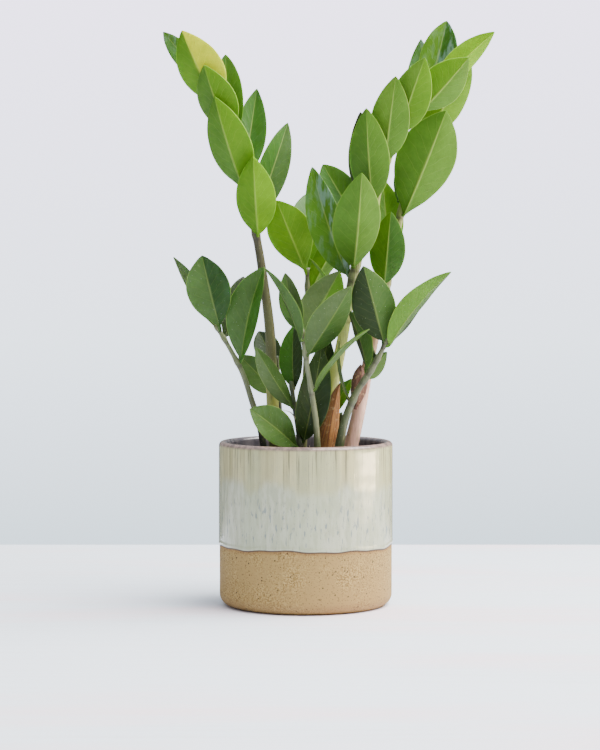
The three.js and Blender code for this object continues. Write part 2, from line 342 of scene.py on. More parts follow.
for side in range(POT_SIDES):
    after = (side + 1) % POT_SIDES
    pot_faces.append((0, 1 + after, 1 + side))
    for row in range(len(profile) - 1):
        low, high = 1 + row * POT_SIDES, 1 + (row + 1) * POT_SIDES
        pot_faces.append((low + side, low + after, high + after, high + side))
    pot_faces.append((high + side, high + after, len(pot_points) - 1))


def carry(piece, name, values, kind="FLOAT"):
    """Stores one value, or one colour, for each point of the piece's mesh."""
    layer = piece.data.attributes.new(name, kind, "POINT")
    flat = np.asarray(values, np.float32).ravel()
    layer.data.foreach_set("value" if kind == "FLOAT" else "color", flat)


# Small round specks: Share is how many of the cells hold one, and Size how big it is in its cell.
specks, given, mask = shader_group("specks", {
    "Where": ("Vector", None), "Scale": ("Float", 400), "Share": ("Float", 0.3), "Size": ("Float", 0.3)})
cells = put(specks, "ShaderNodeTexVoronoi",
            {"Vector": given.outputs["Where"], "Scale": given.outputs["Scale"], "Randomness": 1})
chance = put(specks, "ShaderNodeSeparateColor", {0: cells.outputs["Color"]})
kept = put(specks, "ShaderNodeMath", {0: chance.outputs[0], 1: given.outputs["Share"]},
           operation="LESS_THAN")
reach = sum_of(specks, "MULTIPLY", given.outputs["Size"], between(specks, chance.outputs[1], 0.4, 1))
inner_reach = sum_of(specks, "MULTIPLY", reach, 0.6)
round_speck = put(specks, "ShaderNodeMapRange",
                  {"Value": cells.outputs["Distance"], "From Min": reach, "From Max": inner_reach})
speck = sum_of(specks, "MULTIPLY", kept.outputs[0], round_speck.outputs[0])
specks.links.new(speck, mask.inputs["Mask"])


def specked(tree, where, scale, share, size):
    """The specks group placed in a material."""
    made = put(tree, "ShaderNodeGroup", {}, node_tree=specks)
    tree.links.new(where, made.inputs["Where"])
    for key, value in (("Scale", scale), ("Share", share), ("Size", size)):
        made.inputs[key].default_value = value
    return made.outputs["Mask"]


stoneware, tree, shader, place = new_finish("glazed_stoneware")
height = put(tree, "ShaderNodeSeparateXYZ", {0: place}).outputs["Z"]
sand = mottled(tree, place, 900, 0.35, 0.65)
body = tinted(tree, sand, linear("#7C6132"), linear("#AE9258"))
body = tinted(tree, mottled(tree, place, 45), body, linear("#987C48"))
pits = specked(tree, place, 850, 0.50, 0.48)
iron = specked(tree, place, 430, 0.30, 0.34)
body = tinted(tree, sum_of(tree, "MULTIPLY", pits, 0.7), body, linear("#4E3A20"))
body = tinted(tree, iron, body, linear("#20150E"))
scorch = carried(tree, "scorch").outputs["Fac"]
body = tinted(tree, sum_of(tree, "MULTIPLY", scorch, 0.6), body, linear("#7A4E22"))
foot_shade = eased(tree, height, 0.012, 0.0)
body = tinted(tree, sum_of(tree, "MULTIPLY", foot_shade, 0.35), body, linear("#8A6E4C"))
runs = mottled(tree, place, (190, 190, 9), 0.36, 0.62)
broad_runs = mottled(tree, place, (55, 55, 7), 0.38, 0.62)
thin_coat = eased(tree, sum_of(tree, "ADD", height, between(tree, broad_runs, -0.004, 0.004)),
                  0.087, 0.097)
milky = tinted(tree, mottled(tree, place, (300, 300, 70)), linear("#9EA188"), linear("#AFB099"))
straw = tinted(tree, runs, linear("#9C9468"), linear("#B8AF80"))
cream = tinted(tree, sum_of(tree, "MULTIPLY", thin_coat, 0.85), milky, straw)
cream = tinted(tree, sum_of(tree, "MULTIPLY", broad_runs, 0.4), cream, linear("#9CA484"))
below_cream = eased(tree, height, 0.092, 0.070)
blue_zone = sum_of(tree, "MULTIPLY", below_cream, eased(tree, height, 0.044, 0.056))
blue_drops = mottled(tree, place, (460, 460, 130), 0.57, 0.66)
cream = tinted(tree, sum_of(tree, "MULTIPLY", blue_drops, between(tree, blue_zone, 0.15, 0.8)),
               cream, linear("#647074"))
sand_grains = specked(tree, place, 620, 0.26, 0.36)
cream = tinted(tree, sum_of(tree, "MULTIPLY", sand_grains, 0.35), cream, linear("#7C7660"))
hairlines = mottled(tree, place, (560, 560, 14), 0.57, 0.63)
near_lip = eased(tree, height, 0.086, 0.116)
cream = tinted(tree, sum_of(tree, "MULTIPLY", hairlines, between(tree, near_lip, 0.10, 0.75)),
               cream, linear("#625F4A"))
lip = eased(tree, height, 0.1185, 0.1212)
lip_colour = tinted(tree, mottled(tree, place, 240), linear("#8C746C"), linear("#6A5A56"))
cream = tinted(tree, lip, cream, lip_colour)
# Inside, the cream glaze is painted dark purple-grey: painted shade in the pot's hollow.
inside = carried(tree, "inside").outputs["Fac"]
cream = tinted(tree, inside, cream, tinted(tree, runs, linear("#4A464C"), linear("#625C60")))
glaze = carried(tree, "glaze").outputs["Fac"]
edge = sum_of(tree, "SUBTRACT", 1, sum_of(tree, "ABSOLUTE", sum_of(tree, "SUBTRACT",
              sum_of(tree, "MULTIPLY", glaze, 2), 1)))
surface = tinted(tree, glaze, body, cream)
surface = tinted(tree, eased(tree, edge, 0.0, 0.45), surface, linear("#3E260E"))
tree.links.new(surface, shader.inputs["Base Color"])
glaze_roughness = between(tree, mottled(tree, place, 60), 0.10, 0.20)
gloss = put(tree, "ShaderNodeMix", {0: glaze, 2: 0.85, 3: glaze_roughness}).outputs[0]
tree.links.new(gloss, shader.inputs["Roughness"])
tooth = sum_of(tree, "ADD", sum_of(tree, "MULTIPLY", sand, 0.5), sum_of(tree, "MULTIPLY", pits, -1))
soft_runs = sum_of(tree, "MULTIPLY", runs, 0.35)
relief = put(tree, "ShaderNodeMix", {0: glaze, 2: tooth, 3: soft_runs}).outputs[0]
raised(tree, shader, relief, 0.00022)

pot = mesh_piece("pot", pot_points, pot_faces, stoneware)
carry(pot, "glaze", pot_glaze)
carry(pot, "inside", pot_inside)
carry(pot, "scorch", pot_scorch)
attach(pot, "root")
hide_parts("stoneware_pot")


# ---- The potting soil
# Peat and bark mix pressed down by hand a finger's width below the lip, with lumps of bark and
# a few white grains of perlite lying on it.
soil_low, soil_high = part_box("potting_soil")
SOIL_RADIUS = (soil_high.x - soil_low.x) / 2
SOIL_TOP = soil_high.z
SOIL_RINGS = 40
SOIL_SIDES = 120
rand = random.Random(7)


def soil_height(x, y):
    """The uneven top of the soil, never above the height the CAD gives it."""
    coarse = noise.noise(Vector((x * 45, y * 45, 0.3)))
    fine = noise.noise(Vector((x * 210, y * 210, 4.1)))
    return SOIL_TOP - 2.6 * MM + 1.6 * MM * coarse + 0.8 * MM * fine


soil_points = [(0, 0, soil_height(0, 0))]
for ring in range(1, SOIL_RINGS + 1):
    for side in range(SOIL_SIDES):
        turn = 2 * math.pi * side / SOIL_SIDES
        r = SOIL_RADIUS * ring / SOIL_RINGS
        x, y = r * math.cos(turn), r * math.sin(turn)
        soil_points.append((x, y, soil_height(x, y)))
rim_row = len(soil_points) - SOIL_SIDES
for x, y, z in soil_points[rim_row:]:
    soil_points.append((x, y, soil_low.z))
soil_faces = []
for side in range(SOIL_SIDES):
    after = (side + 1) % SOIL_SIDES
    soil_faces.append((0, 1 + side, 1 + after))
    for ring in range(SOIL_RINGS):
        low, high = 1 + ring * SOIL_SIDES, 1 + (ring + 1) * SOIL_SIDES
        soil_faces.append((low + side, high + side, high + after, low + after))
soil_faces.append([len(soil_points) - SOIL_SIDES + side for side in range(SOIL_SIDES)])

peat, tree, shader, place = new_finish("peat_and_bark")
damp = mottled(tree, place, 90)
crumb = mottled(tree, place, 700, 0.3, 0.7)
peat_colour = tinted(tree, crumb, linear("#1E150F"), linear("#4A3626"))
peat_colour = tinted(tree, sum_of(tree, "MULTIPLY", damp, 0.5), peat_colour, linear("#2A1D14"))
tree.links.new(peat_colour, shader.inputs["Base Color"])
tree.links.new(between(tree, damp, 0.95, 0.7), shader.inputs["Roughness"])
raised(tree, shader, crumb, 0.0008)
soil = mesh_piece("soil", soil_points, soil_faces, peat)
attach(soil, "root")
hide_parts("potting_soil")


def scattered(name, count, sizes, flatness, material):
    """Knobbly lumps lying on the soil, all in one piece."""
    shape = bmesh.new()
    for _ in range(count):
        r = SOIL_RADIUS * 0.96 * math.sqrt(rand.random())
        turn = rand.uniform(0, 2 * math.pi)
        size = rand.uniform(*sizes)
        x, y = r * math.cos(turn), r * math.sin(turn)
        lump = bmesh.ops.create_icosphere(shape, subdivisions=2, radius=1)["verts"]
        long, slim = rand.uniform(1, 1.7), rand.uniform(0.6, 1)
        heading, seed = rand.uniform(0, math.pi), rand.uniform(0, 50)
        for v in lump:
            knob = 1 + 0.35 * noise.noise(v.co * 1.7 + Vector((seed, 0, 0)))
            a, b, c = v.co.x * long * knob, v.co.y * slim * knob, v.co.z * flatness * knob
            v.co = Vector((x + size * (a * math.cos(heading) - b * math.sin(heading)),
                           y + size * (a * math.sin(heading) + b * math.cos(heading)),
                           soil_height(x, y) + size * (c + 0.25 * flatness)))
    mesh = bpy.data.meshes.new(name)
    shape.to_mesh(mesh)
    shape.free()
    mesh.materials.append(material)
    piece = bpy.data.objects.new(name, mesh)
    bpy.context.scene.collection.objects.link(piece)
    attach(piece, "root")


scattered("bark_lumps", 260, (1.2 * MM, 3.4 * MM), 0.5, peat)
perlite, tree, shader, place = new_finish("perlite")
pores = mottled(tree, place, 1500, 0.4, 0.6)
tree.links.new(tinted(tree, pores, linear("#D9D6CE"), linear("#B9B4A8")), shader.inputs["Base Color"])
shader.inputs["Roughness"].default_value = 0.9
raised(tree, shader, pores, 0.0003)
scattered("perlite_grains", 70, (0.7 * MM, 1.5 * MM), 0.8, perlite)


# ---- The stems
# Nine fleshy leaf stalks rise from the rhizome under the soil, thick and firm at the foot and
# thin at the tip. Each is swollen, with a fine dark ring, where a leaflet is joined to it.
STEM_SIDES = 20
STEM_STATION = 2 * MM
JOINT_SWELL = 0.55 * MM  # how far a stem swells at a joint
JOINT_REACH = 3 * MM
RING_MARK_BELOW = 3.5 * MM
RING_MARK_WIDE = 1.0 * MM
LEAFLET_COUNTS = {
    "tall_left": 8, "low_left": 4, "thin_middle": 5, "tall_middle": 10, "tall_right": 5,
    "back_middle": 3, "low_right": 6, "short_front": 4, "short_back": 2}
# Colours at heights above the table in millimetres, from the soil up. Where a stem darkens
# towards the soil, near-black at the foot of low_left, that is painted shade in the pot's hollow.
STEM_COLOURS = {
    "tall_left": [(108, "#3C3A22"), (132, "#77793C"), (150, "#A3A84A"), (164, "#8F9342"),
                  (182, "#575A2E"), (270, "#4A4630"), (330, "#5C6036"), (394, "#79803F")],
    "low_left": [(108, "#15150F"), (132, "#26281A"), (150, "#4C5232"), (175, "#5B6240"),
                 (210, "#626D40")],
    "thin_middle": [(108, "#454A2C"), (140, "#6C7250"), (180, "#70775A"), (207, "#6E7650")],
    "tall_middle": [(108, "#8B8745"), (160, "#A6B053"), (190, "#B4BC5C"), (215, "#7F8B45"),
                    (240, "#67704A"), (270, "#7E8A40"), (390, "#7C923C")],
    "tall_right": [(108, "#C79C8C"), (150, "#D2A796"), (180, "#A87C68"), (200, "#7E6446"),
                   (216, "#6F6C44"), (385, "#7C923C")],
    "back_middle": [(108, "#5B5E34"), (215, "#666C40"), (252, "#6A7450")],
    "low_right": [(108, "#3B4428"), (150, "#47502E"), (180, "#565A40"), (200, "#4E5438")],
    "short_front": [(108, "#2E3420"), (168, "#3C4828")],
    "short_back": [(108, "#2C3420"), (185, "#3A4428")]}


def rings_of(node):
    """The rings of corners that the CAD node was made of, from one end to the other."""
    shape = bmesh.new()
    shape.from_mesh(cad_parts[node].data)
    bmesh.ops.remove_doubles(shape, verts=shape.verts, dist=0.01 * MM)
    shape.verts.index_update()
    ends = sorted((v for v in shape.verts if len(v.link_edges) == 8), key=lambda v: tuple(v.co))
    layer, seen, rings = [ends[0]], {ends[0]}, []
    while True:
        layer = {e.other_vert(v) for v in layer for e in v.link_edges} - seen
        if len(layer) < 8:
            break
        seen |= layer
        ring = [min(layer, key=lambda v: tuple(v.co))]
        while len(ring) < 8:
            near = [e.other_vert(ring[-1]) for e in ring[-1].link_edges]
            fresh = [v for v in near if v in layer and v not in ring]
            ring.append(min(fresh, key=lambda v: tuple(v.co)))
        rings.append(np.array([v.co for v in ring]))
    shape.free()
    return rings


def in_step(rings):
    """Turns each ring so that its corners follow on from those of the ring before it."""
    lined_up = [rings[0]]
    for ring in rings[1:]:
        before = lined_up[-1] - lined_up[-1].mean(0)
        before = before / np.linalg.norm(before, axis=1, keepdims=True)
        middle = ring.mean(0)
        choices = [np.roll(way, shift, 0) for way in (ring, ring[::-1]) for shift in range(8)]
        spokes = [(c - middle) / np.linalg.norm(c - middle, axis=1, keepdims=True) for c in choices]
        best = max(range(16), key=lambda i: float((spokes[i] * before).sum()))
        lined_up.append(choices[best])
    return lined_up


def on_curve(values, k):
    """The value at place k, counted in steps, on the smooth curve through the values."""
    last = len(values) - 1
    i = min(max(int(k), 0), last - 1)
    t = k - i
    b, c = values[i], values[i + 1]
    a = values[i - 1] if i > 0 else 2 * b - c
    d = values[i + 2] if i + 2 <= last else 2 * c - b
    return 0.5 * (2 * b + (c - a) * t + (2 * a - 5 * b + 4 * c - d) * t ** 2
                  + (3 * b - a - 3 * c + d) * t ** 3)


def foot_first(rings):
    """The rings from the thicker end to the thinner one."""
    sizes = [np.linalg.norm(r - r.mean(0), axis=1).mean() for r in (rings[0], rings[-1])]
    return rings if sizes[0] > sizes[1] else rings[::-1]


def unit(vector):
    """The same direction with a length of 1."""
    return vector / np.linalg.norm(vector)


stem_lines = {}
for stem, count in LEAFLET_COUNTS.items():
    rings = foot_first(rings_of(stem + "_stem"))
    middles = [r.mean(0) for r in rings]
    radii = [np.linalg.norm(r - r.mean(0), axis=1).mean() for r in rings]
    stations = int(sum(np.linalg.norm(b - a) for a, b in zip(middles, middles[1:])) / STEM_STATION)
    places = [(len(rings) - 1) * i / stations for i in range(stations + 1)]
    line = np.array([on_curve(middles, k) for k in places])
    girth = np.array([on_curve(radii, k) for k in places])
    stem_lines[stem] = (line, girth)

fleshy = {}
for name in ("olive_stem", "young_stem"):
    made, tree, shader, place = new_finish(name)
    skin = carried(tree, "tint").outputs["Color"]
    joint = carried(tree, "joint").outputs["Fac"]
    fibres = mottled(tree, place, (900, 900, 60), 0.35, 0.65)
    blotches = mottled(tree, place, (260, 260, 90), 0.48, 0.66)
    dots = specked(tree, place, 900, 0.30, 0.38)
    skin = tinted(tree, sum_of(tree, "MULTIPLY", fibres, 0.22), skin, linear("#C9C79A"), "MULTIPLY")
    skin = tinted(tree, sum_of(tree, "MULTIPLY", blotches, 0.38), skin, linear("#4B4A2A"))
    skin = tinted(tree, sum_of(tree, "MULTIPLY", dots, 0.16), skin, linear("#C9C69A"))
    skin = tinted(tree, sum_of(tree, "MULTIPLY", joint, 0.8), skin, linear("#2E2818"))
    tree.links.new(skin, shader.inputs["Base Color"])
    tree.links.new(between(tree, fibres, 0.38, 0.55), shader.inputs["Roughness"])
    shader.inputs["Subsurface Weight"].default_value = 0.08
    shader.inputs["Subsurface Radius"].default_value = (0.6, 1.0, 0.3)
    shader.inputs["Subsurface Scale"].default_value = 0.001
    raised(tree, shader, sum_of(tree, "ADD", fibres, sum_of(tree, "MULTIPLY", dots, 0.6)), 0.00012)
    fleshy[name] = made


def colour_at(stops, height):
    """The colour at a height in metres, between the stops below and above it."""
    heights = [z * MM for z, _ in stops]
    codes = np.array([linear(code) for _, code in stops])
    return [np.interp(height, heights, codes[:, i]) for i in range(4)]


def across_to(direction, hint):
    """Two directions square to this one and to each other, the first as near hint as it can be."""
    first = unit(hint - direction * float(direction @ hint))
    return first, np.cross(direction, first)


def rod_faces(rows, sides):
    """The faces of a closed round rod: its two ends, then its wall from row to row."""
    made = [list(range(sides)), [(rows - 1) * sides + side for side in range(sides)]]
    for row in range(rows - 1):
        for side in range(sides):
            after = (side + 1) % sides
            a, b = row * sides, (row + 1) * sides
            made.append((a + side, a + after, b + after, b + side))
    return made


leaflet_feet = {}
for stem, (line, girth) in stem_lines.items():
    joints = []
    for number in range(1, LEAFLET_COUNTS[stem] + 1):
        node = f"{stem}_leaflet_{number}"
        foot = foot_first(rings_of(node))[0].mean(0)
        nearest = int(np.argmin(np.linalg.norm(line - foot, axis=1)))
        leaflet_feet[node] = nearest
        joints.append(line[nearest])
    points, tints, marks = [], [], []
    rows = len(line)
    for i, (middle, radius) in enumerate(zip(line, girth)):
        heading = unit(line[min(i + 1, rows - 1)] - line[max(i - 1, 0)])
        right, front = across_to(heading, np.array([1.0, 0, 0]))
        gaps = [float(heading @ (middle - joint)) for joint in joints]
        swell = JOINT_SWELL * sum(math.exp(-(g / JOINT_REACH) ** 2) for g in gaps)
        ring_mark = max(math.exp(-((g + RING_MARK_BELOW) / RING_MARK_WIDE) ** 2) for g in gaps)
        ending = 1 if i < rows - 1 else 0.8
        for side in range(STEM_SIDES):
            turn = 2 * math.pi * side / STEM_SIDES
            rib = 1 + 0.025 * math.cos(5 * turn + 9 * middle[2] / 0.1)
            r = (radius * rib + min(swell, 0.7 * MM)) * ending
            points.append(middle + r * (math.cos(turn) * right + math.sin(turn) * front))
            tints.append(colour_at(STEM_COLOURS[stem], middle[2]))
            marks.append(ring_mark)
    faces = rod_faces(rows, STEM_SIDES)
    slot = "young_stem" if stem in ("tall_middle", "tall_right") else "olive_stem"
    piece = mesh_piece(f"{stem}_stalk", points, faces, fleshy[slot])
    carry(piece, "tint", tints, "FLOAT_COLOR")
    carry(piece, "joint", marks)
    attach(piece, "root")
    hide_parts(f"{stem}_stem")


# ---- The leaflets
# Thick waxy blades on short round stalks, pointed at the tip and folded a little along a midrib
# that stands proud underneath. Young ones are yellow-green, older ones dark, glossy and dusty.
BLADE_STATIONS = 46
STALK_STATIONS = 5
STALK_RADIUS = 1.2 * MM
BLADE_THICK = 0.36 * MM  # from the middle of the blade to either side
SIDE_VEINS = 9
MIDRIB_HIGH = 0.62 * MM  # how far the midrib stands out underneath, at the foot of the blade
GROOVE_DEEP = 0.22 * MM  # the groove that runs above the midrib
GROOVE_WIDE = 0.55 * MM
PUCKER = 0.10 * MM  # the rise of the skin between two side veins
EDGE_WAVE = 0.35 * MM
HALF_ACROSS = [0.014, 0.035, 0.065, 0.11, 0.17, 0.25, 0.34, 0.44, 0.54, 0.64, 0.74, 0.83, 0.905,
               0.955, 0.985]
# The greens of the blades. A blade opens lime and darkens with age; the oldest are dusty. The shade
# green is painted shade, for blades in the shadow of others; the yellow is painted light on one half.
GREENS = {"lime": "#72A010", "fresh": "#5C8810", "apple": "#6C9430", "leaf": "#507820",
          "forest": "#38601C", "deep": "#244410", "old": "#44602C", "dusty": "#586C40",
          "shade": "#2A3A1C", "yellow": "#C8CC18"}
# Each leaflet's green in its left half and in its right half, from the foot of its stem upwards.
# Where the two halves differ, that is painted light and shade: one half painted lit, the other shaded.
LEAFLET_GREENS = {
    "tall_left": ["fresh lime", "forest old", "leaf fresh", "forest forest", "forest leaf",
                  "leaf fresh", "fresh yellow", "forest leaf"],
    "low_left": ["old forest", "shade shade", "old deep", "dusty old"],
    "thin_middle": ["old leaf", "shade old", "dusty old", "dusty leaf", "old dusty"],
    "tall_middle": ["apple apple", "leaf leaf", "leaf leaf", "forest leaf", "shade shade",
                    "leaf leaf", "apple leaf", "apple fresh", "fresh leaf", "lime lime"],
    "tall_right": ["fresh forest", "leaf fresh", "leaf leaf", "forest leaf", "leaf forest"],
    "back_middle": ["fresh leaf", "forest fresh", "lime fresh"],
    "low_right": ["shade shade", "old old", "shade old", "old shade", "leaf old", "shade old"],
    "short_front": ["old old", "shade shade", "dusty old", "forest shade"],
    "short_back": ["old old", "shade shade"]}
UNDERSIDE_SHARE = 0.9  # how bright the duller underside is against the upper side

across_places = [-1] + [-u for u in reversed(HALF_ACROSS)] + [0] + HALF_ACROSS + [1]

# The veins: a pale midrib, slanting side veins, and the thin pale rim of the blade. The group
# gives the strongest of the three, each weighed by its share.
veins, given, mask = shader_group("leaf_veins", {
    "Across": ("Float", 0), "Along": ("Float", 0),
    "Midrib": ("Float", 1), "Sides": ("Float", 0.3), "Rim": ("Float", 0.5)})
off_middle = sum_of(veins, "ABSOLUTE", given.outputs["Across"])
rib_width = between(veins, given.outputs["Along"], 0.085, 0.035)
rib_core = sum_of(veins, "MULTIPLY", rib_width, 0.35)
rib = eased(veins, off_middle, rib_width, rib_core)
slant = sum_of(veins, "MULTIPLY", sum_of(veins, "POWER", off_middle, 0.8), 2.1)
count = sum_of(veins, "SUBTRACT", sum_of(veins, "MULTIPLY", given.outputs["Along"], SIDE_VEINS), slant)
ripple = put(veins, "ShaderNodeTexNoise", {"Scale": 2.2, "Vector": put(
    veins, "ShaderNodeCombineXYZ", {0: given.outputs["Across"], 1: given.outputs["Along"]}).outputs[0]})
count = sum_of(veins, "ADD", count, ripple.outputs[0])
from_line = sum_of(veins, "ABSOLUTE", sum_of(veins, "SUBTRACT", sum_of(veins, "FRACT", count), 0.5))
side = eased(veins, from_line, 0.07, 0.0)
side = sum_of(veins, "MULTIPLY", side, eased(veins, off_middle, 0.97, 0.55))
rim = eased(veins, off_middle, 0.955, 0.99)
total = sum_of(veins, "MULTIPLY", rib, given.outputs["Midrib"])
for part, share in ((side, "Sides"), (rim, "Rim")):
    total = sum_of(veins, "MAXIMUM", total, sum_of(veins, "MULTIPLY", part, given.outputs[share]))
veins.links.new(total, mask.inputs["Mask"])


def veined(tree, midrib, sides, rim):
    """The leaf veins group placed in a material, by the places that the mesh carries."""
    made = put(tree, "ShaderNodeGroup", {}, node_tree=veins)
    tree.links.new(carried(tree, "across").outputs["Fac"], made.inputs["Across"])
    tree.links.new(carried(tree, "along").outputs["Fac"], made.inputs["Along"])
    for key, value in (("Midrib", midrib), ("Sides", sides), ("Rim", rim)):
        made.inputs[key].default_value = value
    return made.outputs["Mask"]


# Each finish: how much paler its veins are, and how dusty it is.
LEAF_FINISHES = {"young_leaflet": (0.55, 0.0), "mature_leaflet": (0.30, 0.5)}
leafy = {}
for name, (vein_share, dust) in LEAF_FINISHES.items():
    made, tree, shader, place = new_finish(name)
    upper = carried(tree, "upper").outputs["Fac"]
    along = carried(tree, "along").outputs["Fac"]
    blade = carried(tree, "tint").outputs["Color"]
    clouds = mottled(tree, place, 60, 0.35, 0.65)
    flecks = mottled(tree, place, 420, 0.45, 0.62)
    blade = tinted(tree, sum_of(tree, "MULTIPLY", clouds, 0.5), blade, linear("#D2DAB4"), "MULTIPLY")
    blade = tinted(tree, sum_of(tree, "MULTIPLY", flecks, 0.2), blade, linear("#C4D0AA"), "MULTIPLY")
    near_foot = eased(tree, along, 0.30, 0.0)
    blade = tinted(tree, sum_of(tree, "MULTIPLY", near_foot, 0.3), blade, linear("#C9E48A"), "MULTIPLY")
    paler = tinted(tree, 0.30, blade, linear("#D8E878"))
    blade = tinted(tree, veined(tree, vein_share, 0.09, 0.45), blade, paler)
    # Pale blue-grey streaks on glossy blades are a painted sheen; the same share sets the clear coat.
    streaks = mottled(tree, place, (260, 260, 70), 0.46, 0.62)
    wax_and_painted_sheen = sum_of(tree, "MULTIPLY", carried(tree, "wax_and_painted_sheen").outputs["Fac"], streaks)
    blade = tinted(tree, sum_of(tree, "MULTIPLY", wax_and_painted_sheen, 0.45), blade, linear("#8FB0A8"))
    powder = specked(tree, place, 900, 0.14, 0.24)
    blade = tinted(tree, sum_of(tree, "MULTIPLY", powder, dust), blade, linear("#B9C4AE"))
    tree.links.new(blade, shader.inputs["Base Color"])
    tree.links.new(wax_and_painted_sheen, shader.inputs["Coat Weight"])
    shader.inputs["Coat Roughness"].default_value = 0.16
    tree.links.new(between(tree, upper, 0.52, 0.40), shader.inputs["Roughness"])
    shader.inputs["Specular IOR Level"].default_value = 0.12
    shader.inputs["Subsurface Weight"].default_value = 0.3
    shader.inputs["Subsurface Radius"].default_value = (0.5, 1.0, 0.15)
    shader.inputs["Subsurface Scale"].default_value = 0.0015
    skin_cells = mottled(tree, place, 1100, 0.3, 0.7)
    relief = sum_of(tree, "ADD", sum_of(tree, "MULTIPLY", skin_cells, 0.25), veined(tree, 0.2, 0.8, 0.0))
    raised(tree, shader, relief, 0.00010)
    leafy[name] = made


def turned_ring_data(node):
    """Middle, half-width, rise and upper direction at each CAD ring of a blade, foot first."""
    rings = in_step(foot_first(rings_of(node)))
    widest = max(rings, key=lambda r: np.linalg.norm(r - r.mean(0), axis=1).max())
    spans = [np.linalg.norm(widest[i] - widest[i + 4]) for i in range(4)]
    edge = int(np.argmax(spans))
    edges_middle = (widest[edge] + widest[edge + 4]) / 2
    sides = [(edge + 2) % 8, (edge + 6) % 8]
    top = min(sides, key=lambda i: np.linalg.norm(widest[i] - edges_middle))
    data = []
    for ring in rings:
        ring = np.roll(ring, -top, 0)
        middle = (ring[0] + ring[4]) / 2
        left, right = ring[2], ring[6]
        data.append((middle, (left - right) / 2, (left + right) / 2 - middle, ring[0] - ring[4]))
    return [list(column) for column in zip(*data)]


def blade_piece(name, data, root, greens, wax_and_painted_sheen, material, vein_phase):
    """A leaflet: its round stalk from root, inside the stem, and its blade to the tip."""
    middles, halves, rises, ups = data
    last = len(middles) - 1
    rightwards = 1 if halves[last // 2][0] > 0 else -1
    start = Vector(middles[0])
    heading = (Vector(on_curve(middles, 0.35)) - start).normalized()
    out = start - Vector(root)
    bend = [Vector(root), Vector(root) + 0.55 * out, start - heading * 1.6 * MM, start]
    stations = []
    for i in range(STALK_STATIONS):
        t = i / STALK_STATIONS
        p = (bend[0] * (1 - t) ** 3 + bend[1] * 3 * t * (1 - t) ** 2
             + bend[2] * 3 * t * t * (1 - t) + bend[3] * t ** 3)
        q = ((bend[1] - bend[0]) * (1 - t) ** 2 + (bend[2] - bend[1]) * 2 * t * (1 - t)
             + (bend[3] - bend[2]) * t * t).normalized()
        turn = heading.rotation_difference(q)
        wide = Vector(unit(halves[0]))
        up = Vector(unit(ups[0]))
        wide.rotate(turn)
        up.rotate(turn)
        radius = STALK_RADIUS * (1.35 - 0.35 * t)
        stations.append((np.array(p), np.array(wide) * radius, np.zeros(3), np.array(up), 0.0, radius))
    for i in range(BLADE_STATIONS + 1):
        k = last * i / BLADE_STATIONS
        half = on_curve(halves, k)
        radius = max(STALK_RADIUS * (1 - k / last), 0.3 * MM)
        up = unit(on_curve(ups, k))
        stations.append((on_curve(middles, k), half, on_curve(rises, k), up, k / last, radius))
    points, carried_values = [], []
    for middle, half, rise, up, k, stalk in stations:
        s = (1 - math.cos(math.pi * k)) / 2
        width = np.linalg.norm(half)
        flat = soft_step(k, 0.0, 0.16)
        rib = MIDRIB_HIGH * (1 - s) ** 0.8 + 0.05 * MM
        rib_wide = (1.05 - 0.6 * s) * MM
        for upper in (1, 0):
            for u in across_places if upper else across_places[1:-1]:
                x = abs(u) * width
                fold = (math.sqrt(u * u + 0.02) - 0.141) / (1.01 - 0.141)
                round_part = stalk * math.sqrt(max(1 - u * u, 0))
                skin = min(BLADE_THICK, stalk + 0.1 * MM) * (1 - u ** 6) ** 0.5
                ridge = rib * math.exp(-(x / rib_wide) ** 2)
                groove = GROOVE_DEEP * (1 - s) * math.exp(-(x / GROOVE_WIDE) ** 2)
                blade_part = skin - groove if upper else skin + ridge
                thick = (1 - flat) * round_part + flat * blade_part
                vein = SIDE_VEINS * s - 2.1 * abs(u) ** 0.8
                pucker = PUCKER * math.cos(2 * math.pi * vein) * math.sin(math.pi * s) * (1 - u ** 4)
                wave = EDGE_WAVE * u * u * math.sin(2 * math.pi * (1.7 * s + 0.3 * u) + vein_phase)
                lift = flat * (pucker * min(1, x / (2 * MM)) + wave * math.sin(math.pi * s))
                points.append(middle + u * half + rise * fold * flat
                              + up * (lift + (thick if upper else -thick)))
                carried_values.append((u, s, upper))
    row = 2 * len(across_places) - 2
    upper_row = len(across_places)
    loop = list(range(upper_row)) + [row - 1 - i for i in range(row - upper_row)]
    faces = [loop, [(len(stations) - 1) * row + i for i in reversed(loop)]]
    for i in range(len(stations) - 1):
        for a, b in zip(loop, loop[1:] + loop[:1]):
            faces.append((i * row + a, i * row + b, (i + 1) * row + b, (i + 1) * row + a))
    piece = mesh_piece(name, points, faces, material)
    columns = list(zip(*carried_values))
    for key, values in zip(("across", "along", "upper"), columns):
        carry(piece, key, values)
    # The two halves take their own greens, the half towards +x the right one: painted light and shade
    # across the fold.
    left_tint, right_tint = (np.array(linear(GREENS[green])) for green in greens.split())
    shares = [soft_step(u * rightwards, -0.12, 0.12) for u in columns[0]]
    sides = [1 if upper else UNDERSIDE_SHARE for upper in columns[2]]
    carry(piece, "tint", [(left_tint + (right_tint - left_tint) * share) * side
                          for share, side in zip(shares, sides)], "FLOAT_COLOR")
    # The painted sheen and the clear coat are stronger on the half towards +x.
    carry(piece, "wax_and_painted_sheen", [wax_and_painted_sheen * (0.25 + 0.75 * share) * upper for share, upper in zip(shares, columns[2])])
    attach(piece, "root")
    return piece


OLD_STEMS = ("low_left", "thin_middle", "low_right", "short_front", "short_back")
